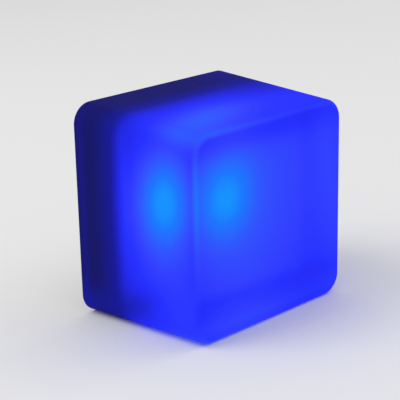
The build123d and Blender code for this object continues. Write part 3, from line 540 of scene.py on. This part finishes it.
foot_section = [(FACE_CENTRE, FOOT_FACE)]
for ring in GRIP_RINGS:
    foot_section += [
        (ring - GRIP_HALF, FOOT_FACE),
        (ring - GRIP_FLOOR_HALF, FOOT_FACE + GRIP_DEPTH),
        (ring + GRIP_FLOOR_HALF, FOOT_FACE + GRIP_DEPTH),
        (ring + GRIP_HALF, FOOT_FACE),
    ]
foot_edge = (FOOT_RADIUS - FOOT_EDGE, FOOT_FACE + FOOT_EDGE)
foot_section += arc(foot_edge, FOOT_EDGE, -math.pi / 2, 0.0, FOOT_EDGE_STEPS)
foot_section += [
    (FOOT_RADIUS, FOOT_TOP - FOOT_HEEL),
    (FOOT_RADIUS - FOOT_HEEL, FOOT_TOP),
    (FACE_CENTRE, FOOT_TOP),
]
feet_mesh = bmesh.new()
for foot_x in (-FOOT_AT, FOOT_AT):
    for foot_y in (-FOOT_AT, FOOT_AT):
        add_lathe(feet_mesh, foot_section, foot_x, foot_y)
finished_object("feet", feet_mesh, "housing", rubber_finish, ["rubber_feet"])

# ---- Screws and charging socket ----
# Stainless pan head screws with a cross recess, passivated, with fine turning marks on the corner ones.
# They cut their own threads in the plastic. The socket's shell is drawn from the same steel, and it is
# soldered to the board.
SCREW_AT = 39.5  # from the axis both ways
TURNING_MARKS = 38.0  # radians to the millimetre
STEEL_DULL = colour(0.48, 0.48, 0.49)
STEEL_BRIGHT = colour(0.70, 0.70, 0.70)

steel_finish = Finish("steel", Metallic=1.0)


def waves(value, pitch):
    """Fine marks, from 0 to 1, with this many radians to the millimetre."""
    return (value * pitch).math("SINE") * 0.5 + 0.5


def stripes(value, pitch, edge):
    """Hard stripes where such waves stand above an edge."""
    return (value * pitch).math("SINE").math("GREATER_THAN", edge)


def distance(across, along):
    """How far off a point lies."""
    return (across * across + along * along).math("SQRT")


place = steel_finish.place()
x, y = steel_finish.parts(place)[:2]
turning = waves(distance(abs(x) - SCREW_AT, abs(y) - SCREW_AT), TURNING_MARKS)
smear = steel_finish.noise(place, scale=1.4, detail=3.0)
steel_finish.tint(smear, STEEL_DULL, STEEL_BRIGHT)
steel_finish.feed("Roughness", turning * 0.10 + smear * 0.18 + 0.20)
steel_finish.relief(turning * 0.6 + smear * 0.4, distance=0.01, strength=0.5)
dress(steel_finish, "base_screws", "deck_screws", "led_board_screws", "board_screws", "cradle_screws")
dress(steel_finish, "charge_socket")

# ---- Seals and gasket ----
# Moulded in black silicone: the ring that the tub's panel squeezes against the shell's ledge, the ring in
# the button's groove, and the collar that keeps water out round the charging socket.
SEAL_BLACK = colour(0.012, 0.012, 0.014)
SEAL_FILM = colour(0.030, 0.030, 0.032)
seal_finish = Finish("black_silicone", Specular_IOR_Level=0.35)
film = seal_finish.noise(seal_finish.place(), scale=0.6, detail=3.0)
seal_finish.mottle(
    film, SEAL_BLACK, SEAL_FILM,
    smooth=0.35, rough=0.60, relief=0.03, strength=0.3,
)
dress(seal_finish, "base_seal", "button_seal", "socket_gasket")

# ---- Power button ----
# A cap moulded in satin ABS, with a finger dish and a fine ring, held behind the panel by its flange. It
# slides in its hole against the switch on the board, and its plunger moves with it.
BUTTON_X = -16.0
CONTROLS_Y = 12.0
BUTTON_RADIUS = 6.0
BUTTON_FACE = -0.3
BUTTON_EDGE = 0.8
DISH_DEPTH = 0.4
DISH_CHORD = 4.5
DISH_STEPS = 10
MARK_RADIUS = 2.4
MARK_HALF = 0.28
MARK_HEIGHT = 0.16
MARK_ROOM = 1.6  # of its half width, kept clear of the dish's own points
MARK_PROFILE = ((-1.5, 0.0), (-0.8, 0.8), (0.0, 1.0), (0.8, 0.8), (1.5, 0.0))  # shares of both
FLANGE_LOW = 3.8
FLANGE_TOP = 4.8
FLANGE_RADIUS = 7.45
BORE_RADIUS = 1.54
BORE_BOTTOM = 2.2
BUTTON_STEPS = 96
BUTTON_EDGE_STEPS = 8
BUTTON_DARK = colour(0.085, 0.089, 0.098)
BUTTON_PALE = colour(0.125, 0.130, 0.142)

button_finish = Finish("button_plastic", Specular_IOR_Level=0.45)
place = button_finish.place()
satin = button_finish.noise(place, scale=5.0, detail=3.0, roughness=0.6)
wear = button_finish.noise(place, scale=0.35, detail=3.0)
button_finish.tint(wear * 0.6 + satin * 0.4, BUTTON_DARK, BUTTON_PALE)
button_finish.feed("Roughness", wear * 0.16 + satin * 0.10 + 0.30)
button_finish.relief(satin, distance=0.03, strength=0.35)

dish_radius = (DISH_CHORD**2 + DISH_DEPTH**2) / (2 * DISH_DEPTH)


def dish_level(radius):
    """Level of the button's face, dished inside the chord."""
    drop = math.sqrt(dish_radius**2 - radius**2) - (dish_radius - DISH_DEPTH)
    return BUTTON_FACE + max(drop, 0.0)


button_section = []
for step in range(1, DISH_STEPS + 1):
    radius = DISH_CHORD * step / DISH_STEPS
    if abs(radius - MARK_RADIUS) > MARK_ROOM * MARK_HALF:
        button_section.append((radius, dish_level(radius)))
for offset, proud in MARK_PROFILE:
    radius = MARK_RADIUS + offset * MARK_HALF
    button_section.append((radius, dish_level(radius) - proud * MARK_HEIGHT))
button_section.sort()
button_edge = (BUTTON_RADIUS - BUTTON_EDGE, BUTTON_FACE + BUTTON_EDGE)
button_section += arc(button_edge, BUTTON_EDGE, -math.pi / 2, 0.0, BUTTON_EDGE_STEPS)
button_section += [
    (BUTTON_RADIUS, FLANGE_LOW),
    (FLANGE_RADIUS, FLANGE_LOW),
    (FLANGE_RADIUS, FLANGE_TOP),
    (BORE_RADIUS, FLANGE_TOP),
    (BORE_RADIUS, BORE_BOTTOM),
]
button_mesh = bmesh.new()
add_lathe(button_mesh, button_section, BUTTON_X, CONTROLS_Y, BUTTON_STEPS)
finished_object("button", button_mesh, "button", button_finish, ["power_button"])
dress(button_finish, "switch_plunger")

# ---- Charging flap ----
# One moulding in grey silicone: a plate with a finger tab, a plug that fills the port, a thin strap that
# bends, and a strip that two pegs hold down in the panel. Their heads snap through from outside.
PORT_X = 15.0
FLAP_HALF_WIDTH = 8.5
FLAP_HALF_HEIGHT = 5.5
FLAP_RADIUS = 2.5
FLAP_CORNER_STEPS = 6
TAB_HALF_WIDTH = 3.5
TAB_LENGTH = 1.6
TAB_RADIUS = 1.2
STRAP_HALF_WIDTH = 5.65
STRAP_FROM = (17.1, 17.9)
STRAP_END = 19.0
ANCHOR_FROM = (18.5, 19.5)
ANCHOR_HALF_WIDTH = 6.0
ANCHOR_END = 23.8
ANCHOR_FACE = 1.35
ANCHOR_RADIUS = 0.8
PLATE_THICKNESS = 1.5
STRAP_THICKNESS = 0.9
FLAP_ROUND = 0.28
FLAP_ROUND_STEPS = 3
FLAP_BORDER = 0.14
RIM_UPRIGHT = 0.2  # how far a normal stands up: less on the rim, more on the faces
FACE_UPRIGHT = 0.6
FLAT_UPRIGHT = 0.75
SMALLEST_FLAT = 0.2
BEND_FROM = 16.9
BEND_TO = 20.1
BEND_CUTS = 17  # rows of points across the strap, between the ends of its bend
NOSE_HALF_RUN = 2.9
NOSE_RADIUS = 2.55
NOSE_END = 4.0
NOSE_ROUND = 0.4
NOSE_LEAN = math.tan(math.radians(10))
NOSE_STEPS = 16
NOSE_ROUND_STEPS = 5
PEG_ASIDE = 3.5
PEG_Y = 21.5
PEG_RADIUS = 1.2
PEG_HEAD = 1.7
PEG_SEAT = 3.8
PEG_END = 4.8
PEG_EDGE = 0.4
PEG_STEPS = 24
SILICONE_DARK = colour(0.095, 0.100, 0.110)
SILICONE_PALE = colour(0.150, 0.155, 0.168)

flap_finish = Finish("grey_silicone", Specular_IOR_Level=0.35)
place = flap_finish.place()
film = flap_finish.noise(place, scale=0.5, detail=3.0)
pores = flap_finish.noise(place, scale=4.0, detail=3.0, roughness=0.6)
flap_finish.tint(film * 0.7 + pores * 0.3, SILICONE_DARK, SILICONE_PALE)
flap_finish.feed("Roughness", film * 0.15 + pores * 0.12 + 0.45)
flap_finish.relief(pores, distance=0.03, strength=0.3)


def corner(x, y, radius, start):
    """A quarter arc of an outline round a corner's middle, anticlockwise from its start."""
    return arc((x, y), radius, start, start + math.pi / 2, FLAP_CORNER_STEPS)


def eased(value, start, end):
    """How far a value has come from a start to an end, as a soft share."""
    share = min(max((value - start) / (end - start), 0.0), 1.0)
    return share * share * (3 - 2 * share)


def flap_levels(y):
    """Levels of the moulding's outer and inner faces along its length."""
    outer = PANEL_FACE + (ANCHOR_FACE - PANEL_FACE) * eased(y, *ANCHOR_FROM)
    thickness = PLATE_THICKNESS + (STRAP_THICKNESS - PLATE_THICKNESS) * eased(y, *STRAP_FROM)
    return outer, outer + thickness


lower_y = CONTROLS_Y - FLAP_HALF_HEIGHT
upper_y = CONTROLS_Y + FLAP_HALF_HEIGHT
tab_x = PORT_X + TAB_HALF_WIDTH - TAB_RADIUS
plate_x = PORT_X + FLAP_HALF_WIDTH - FLAP_RADIUS
anchor_x = PORT_X + ANCHOR_HALF_WIDTH
outline = corner(tab_x, lower_y - TAB_LENGTH + TAB_RADIUS, TAB_RADIUS, -math.pi / 2)
outline += [(PORT_X + TAB_HALF_WIDTH, lower_y)]
outline += corner(plate_x, lower_y + FLAP_RADIUS, FLAP_RADIUS, -math.pi / 2)
outline += corner(plate_x, upper_y - FLAP_RADIUS, FLAP_RADIUS, 0.0)
outline += [
    (PORT_X + STRAP_HALF_WIDTH, upper_y),
    (PORT_X + STRAP_HALF_WIDTH, STRAP_END),
    (anchor_x, ANCHOR_FROM[1]),
]
outline += corner(anchor_x - ANCHOR_RADIUS, ANCHOR_END - ANCHOR_RADIUS, ANCHOR_RADIUS, 0.0)
outline += [(2 * PORT_X - x, y) for x, y in reversed(outline)]

flap_mesh = bmesh.new()
flap_mesh.faces.new([flap_mesh.verts.new((x, y, 0.0)) for x, y in outline])
for step in range(BEND_CUTS):
    bend_y = BEND_FROM + (BEND_TO - BEND_FROM) * step / (BEND_CUTS - 1)
    geometry = flap_mesh.verts[:] + flap_mesh.edges[:] + flap_mesh.faces[:]
    bmesh.ops.bisect_plane(flap_mesh, geom=geometry, plane_co=(0, bend_y, 0), plane_no=(0, 1, 0))
made = bmesh.ops.extrude_face_region(flap_mesh, geom=flap_mesh.faces[:])
inner_points = {part for part in made["geom"] if isinstance(part, bmesh.types.BMVert)}
for vertex in flap_mesh.verts:
    vertex.co.z = flap_levels(vertex.co.y)[vertex in inner_points]
bmesh.ops.recalc_face_normals(flap_mesh, faces=flap_mesh.faces)
rim_edges = [
    edge for edge in flap_mesh.edges
    if len(edge.link_faces) == 2
    and min(abs(face.normal.z) for face in edge.link_faces) < RIM_UPRIGHT
    and max(abs(face.normal.z) for face in edge.link_faces) > FACE_UPRIGHT
]
bmesh.ops.bevel(
    flap_mesh, geom=rim_edges, offset=FLAP_ROUND, offset_type="OFFSET",
    segments=FLAP_ROUND_STEPS, profile=0.5, affect="EDGES", clamp_overlap=True,
)
# A narrow inner border keeps the plate's faces flat under smooth shading.
for side in (-1, 1):
    flats = [
        face for face in flap_mesh.faces
        if face.normal.z * side > FLAT_UPRIGHT and face.calc_area() > SMALLEST_FLAT
    ]
    bmesh.ops.inset_region(flap_mesh, faces=flats, thickness=FLAP_BORDER, use_even_offset=True)

plate_back = PANEL_FACE + PLATE_THICKNESS
nose_tip = NOSE_RADIUS - (NOSE_END - plate_back) * NOSE_LEAN
nose_section = [(NOSE_RADIUS, plate_back - PLATE_THICKNESS / 2), (NOSE_RADIUS, plate_back)]
nose_middle = (nose_tip - NOSE_ROUND, NOSE_END - NOSE_ROUND)
nose_section += arc(nose_middle, NOSE_ROUND, 0.0, math.pi / 2, NOSE_ROUND_STEPS)
nose_rings = []
for radius, level in nose_section:
    nose_ring = []
    for side in (1, -1):
        middle = (PORT_X + side * NOSE_HALF_RUN, CONTROLS_Y)
        start = -math.pi / 2 * side
        nose_ring += arc(middle, radius, start, start + math.pi, NOSE_STEPS)
    nose_rings.append([Vector((x, y, level)) for x, y in nose_ring])
add_loft(flap_mesh, nose_rings)
peg_section = [
    (FACE_CENTRE, ANCHOR_FACE + STRAP_THICKNESS / 2),
    (PEG_RADIUS, ANCHOR_FACE + STRAP_THICKNESS / 2),
    (PEG_RADIUS, PEG_SEAT),
    (PEG_HEAD, PEG_SEAT),
    (PEG_HEAD, PEG_END - PEG_EDGE),
    (PEG_HEAD - PEG_EDGE, PEG_END),
    (FACE_CENTRE, PEG_END),
]
for side in (-1, 1):
    add_lathe(flap_mesh, peg_section, PORT_X + side * PEG_ASIDE, PEG_Y, PEG_STEPS)
flap = finished_object(
    "charging_flap", flap_mesh, None, flap_finish, ["charge_flap", "flap_anchor"]
)
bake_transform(flap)

# ---- Indicator ----
# A cloudy acrylic light pipe with a collar, pushed into the panel from inside. A small chip on the board
# behind it, finished as the lamp's chips are, lights it.
WINDOW_CLEAR = colour(0.40, 0.44, 0.48)
WINDOW_CLOUD = colour(0.52, 0.56, 0.60)
window_finish = Finish("window_plastic", IOR=1.49)
haze = window_finish.noise(window_finish.place(), scale=1.2)
window_finish.mottle(
    haze, WINDOW_CLEAR, WINDOW_CLOUD,
    smooth=0.10, rough=0.22, relief=0.02, strength=0.2,
)
dress(window_finish, "indicator_window")

# ---- Lamp ----
# Nine chips, one in the middle and eight round it, soldered to a round board in white solder mask. Three
# screws hold the board on an aluminium disc that spreads its heat over the deck. A clear moulded dome
# covers it, and a thin white sheet round it throws the light forward.
ROUND_TRACKS = (1.4, 0.93)  # radians to the millimetre, and the edge above which the copper stands
CHIP_WELL = 31.3  # level of the phosphor in the chips' wells
CHIP_WELL_REACH = 0.12
MILLED_FROM = 40.0  # how far off the axis the cutter's centre lay
MILLING_MARKS = 9.0  # radians to the millimetre
MASK_WHITE = colour(0.86, 0.86, 0.83)
MASK_SHADE = colour(0.62, 0.62, 0.58)

board_finish = Finish("white_board", Specular_IOR_Level=0.5)
place = board_finish.place()
x, y = board_finish.parts(place)[:2]
tracks = stripes(distance(x, y), *ROUND_TRACKS)
mask = board_finish.noise(place, scale=0.8, detail=3.0)
board_finish.tint(tracks * 0.35, MASK_WHITE, MASK_SHADE)
board_finish.feed("Roughness", mask * 0.15 + 0.32)
board_finish.relief(tracks * 0.5 + mask * 0.2, distance=0.04, strength=0.5)
dress(board_finish, "led_board")

CHIP_WHITE = colour(0.82, 0.82, 0.79)
CHIP_YELLOW = colour(0.80, 0.72, 0.16)
chip_finish = Finish("led_chip", Specular_IOR_Level=0.5)
place = chip_finish.place()
level = chip_finish.parts(place)[2]
phosphor = abs(level - CHIP_WELL).math("LESS_THAN", CHIP_WELL_REACH)
grains = chip_finish.noise(place, scale=6.0, detail=3.0)
chip_finish.tint(phosphor, CHIP_WHITE, CHIP_YELLOW)
chip_finish.feed("Roughness", grains * 0.2 + 0.28)
chip_finish.relief(grains, distance=0.02, strength=0.3)
dress(chip_finish, "led_chips", "indicator_chip")

ALUMINIUM_DULL = colour(0.70, 0.71, 0.72)
ALUMINIUM_BRIGHT = colour(0.82, 0.83, 0.84)
spreader_finish = Finish("aluminium", Metallic=1.0)
place = spreader_finish.place()
x, y = spreader_finish.parts(place)[:2]
milling = waves(distance(x, y - MILLED_FROM), MILLING_MARKS)
stain = spreader_finish.noise(place, scale=0.3, detail=3.0)
spreader_finish.tint(stain, ALUMINIUM_DULL, ALUMINIUM_BRIGHT)
spreader_finish.feed("Roughness", milling * 0.14 + stain * 0.10 + 0.24)
spreader_finish.relief(milling, distance=0.01, strength=0.5)
dress(spreader_finish, "heat_spreader")

DOME_HAZE = colour(0.86, 0.90, 0.95)
DOME_CLEAR = colour(0.95, 0.97, 1.0)
dome_finish = Finish("clear_dome", Transmission_Weight=0.85, IOR=1.49)
haze = dome_finish.noise(dome_finish.place(), scale=0.5)
dome_finish.mottle(
    haze, DOME_HAZE, DOME_CLEAR,
    smooth=0.04, rough=0.14, relief=0.02, strength=0.2,
)
dress(dome_finish, "led_dome")

SHEET_SHADE = colour(0.78, 0.78, 0.77)
SHEET_WHITE = colour(0.90, 0.90, 0.89)
white_finish = Finish("white_plastic", Specular_IOR_Level=0.4)
fibre = white_finish.noise(white_finish.place(), scale=1.6, detail=4.0, roughness=0.6)
white_finish.mottle(
    fibre, SHEET_SHADE, SHEET_WHITE,
    smooth=0.50, rough=0.70, relief=0.04, strength=0.4,
)
dress(white_finish, "reflector_sheet", "lead_plugs")

# ---- Control board ----
# A fibreglass board under green solder mask, with copper tracks both ways, screwed to four posts in the
# tub. The controller, the charger, a coil, two capacitors and six resistors are soldered to its front.
TRACKS_ALONG = (2.1, 0.75)  # as the lamp board's are given
TRACKS_ACROSS = (1.7, 0.8)
MASK_GREEN = colour(0.010, 0.12, 0.045)
TRACK_GREEN = colour(0.030, 0.22, 0.09)

green_finish = Finish("green_board", Specular_IOR_Level=0.5)
place = green_finish.place()
x, y = green_finish.parts(place)[:2]
either_way = green_finish.noise(place, scale=0.10, detail=1.0).math("GREATER_THAN", 0.5)
tracks = either_way * stripes(x, *TRACKS_ALONG) + (1 - either_way) * stripes(y, *TRACKS_ACROSS)
weave = green_finish.noise(place, scale=2.5, detail=3.0)
green_finish.tint(tracks, MASK_GREEN, TRACK_GREEN)
green_finish.feed("Roughness", weave * 0.15 + 0.28)
green_finish.relief(tracks * 0.7 + weave * 0.2, distance=0.04, strength=0.5)
dress(green_finish, "control_board")

EPOXY_BLACK = colour(0.018, 0.018, 0.019)
EPOXY_GREY = colour(0.05, 0.05, 0.05)
component_finish = Finish("black_component", Specular_IOR_Level=0.4)
grain = component_finish.noise(component_finish.place(), scale=4.5, detail=4.0, roughness=0.7)
component_finish.mottle(
    grain, EPOXY_BLACK, EPOXY_GREY,
    smooth=0.45, rough=0.70, relief=0.03, strength=0.4,
)
dress(component_finish, "board_components")

# ---- Battery ----
# A round cell in blue heat-shrink sleeve. It rests in its cradle, and a pad of closed-cell foam under the
# deck holds it down. Nickel strips are spot-welded to its ends, and sheathed leads run to the plugs.
SLEEVE_DARK = colour(0.03, 0.22, 0.32)
SLEEVE_BLUE = colour(0.06, 0.32, 0.45)
wrap_finish = Finish("cell_wrap", Coat_Weight=0.3)
crinkle = wrap_finish.noise(wrap_finish.place(), scale=0.4, detail=3.0)
wrap_finish.mottle(
    crinkle, SLEEVE_DARK, SLEEVE_BLUE,
    smooth=0.22, rough=0.42, relief=0.08, strength=0.4,
)
dress(wrap_finish, "battery_cell")

FOAM_DARK = colour(0.035, 0.035, 0.037)
FOAM_PALE = colour(0.11, 0.11, 0.115)
foam_finish = Finish("foam", Specular_IOR_Level=0.2)
cells = foam_finish.node("ShaderNodeTexVoronoi", None, {"Vector": foam_finish.place(), "Scale": 2.4})
foam_finish.mottle(
    cells, FOAM_DARK, FOAM_PALE,
    smooth=0.85, rough=0.95, relief=0.15, strength=0.6,
)
dress(foam_finish, "battery_pad")

NICKEL_DULL = colour(0.58, 0.55, 0.50)
NICKEL_BRIGHT = colour(0.72, 0.69, 0.64)
nickel_finish = Finish("nickel", Metallic=1.0)
rolled = nickel_finish.noise(nickel_finish.place(), scale=1.8, detail=3.0)
nickel_finish.mottle(
    rolled, NICKEL_DULL, NICKEL_BRIGHT,
    smooth=0.22, rough=0.42, relief=0.02, strength=0.3,
)
dress(nickel_finish, "battery_tabs")

SHEATH_DARK = colour(0.28, 0.012, 0.012)
SHEATH_RED = colour(0.42, 0.03, 0.026)
lead_finish = Finish("lead_sheath", Specular_IOR_Level=0.4)
sheath = lead_finish.noise(lead_finish.place(), scale=0.9, detail=3.0)
lead_finish.mottle(
    sheath, SHEATH_DARK, SHEATH_RED,
    smooth=0.38, rough=0.58, relief=0.03, strength=0.3,
)
dress(lead_finish, "battery_leads", "lamp_leads")

# ---- Floor ----
# Not a piece of the light: a plain pale floor of painted board, with hardly any gloss, wide enough that a
# view from above sees nothing else.
FLOOR_REACH = 6.0
FLOOR_STEPS = 96
FLOOR_SHADE = 0.70
FLOOR_SWING = 0.01


def grey(value):
    return (value, value, value, 1.0)


floor_finish = Finish("pale_floor", Specular_IOR_Level=0.0)
point = floor_finish.node("ShaderNodeTexCoord", output="Object")
patches = floor_finish.noise(point, scale=1.5)
floor_finish.tint(patches, grey(FLOOR_SHADE - FLOOR_SWING), grey(FLOOR_SHADE + FLOOR_SWING))
floor_finish.feed("Roughness", patches * 0.1 + 0.85)
floor_mesh = bmesh.new()
bmesh.ops.create_circle(floor_mesh, cap_ends=True, segments=FLOOR_STEPS, radius=FLOOR_REACH)
floor_data = bpy.data.meshes.new("floor")
floor_mesh.to_mesh(floor_data)
floor_mesh.free()
floor_data.materials.append(floor_finish.material)
floor = bpy.data.objects.new("floor", floor_data)
bpy.context.scene.collection.objects.link(floor)

# ---- Lights ----
# Even light from all round, and two wide soft lamps above that give the rear its form. The camera, metal
# and glass see a backdrop beyond the floor that has the floor's own tone.
WORLD_STRENGTH = 0.85
WORLD_SEEN = 0.62
# Each lamp's place and size in metres, and its power in watts.
LAMPS = (
    ("key", (-0.9, 0.5, 1.3), 0.9, 9.0),
    ("fill", (1.2, -0.6, 0.9), 1.2, 4.0),
)


class Sky(Finish):
    """The world's nodes, worked as a finish's are."""

    def __init__(self, world):
        world.use_nodes = True
        self.tree = world.node_tree
        self.shader = self.tree.nodes["Background"]


world = bpy.data.worlds.new("studio")
bpy.context.scene.world = world
sky = Sky(world)
seen = sky.node("ShaderNodeLightPath", output="Is Camera Ray")
for ray in ("Is Glossy Ray", "Is Transmission Ray"):
    seen = seen.math("MAXIMUM", sky.node("ShaderNodeLightPath", output=ray))
sky.feed("Color", sky.blend(seen, grey(WORLD_STRENGTH), grey(WORLD_SEEN)))

for name, lamp_at, size, power in LAMPS:
    lamp = bpy.data.lights.new(name, "AREA")
    lamp.size = size
    lamp.energy = power
    holder = bpy.data.objects.new(name, lamp)
    holder.location = lamp_at
    aim = VIEW_TARGET - Vector(lamp_at)
    holder.rotation_euler = aim.to_track_quat("-Z", "Y").to_euler()
    bpy.context.scene.collection.objects.link(holder)

bpy.context.scene.view_settings.view_transform = "Standard"

bpy.context.view_layer.update()
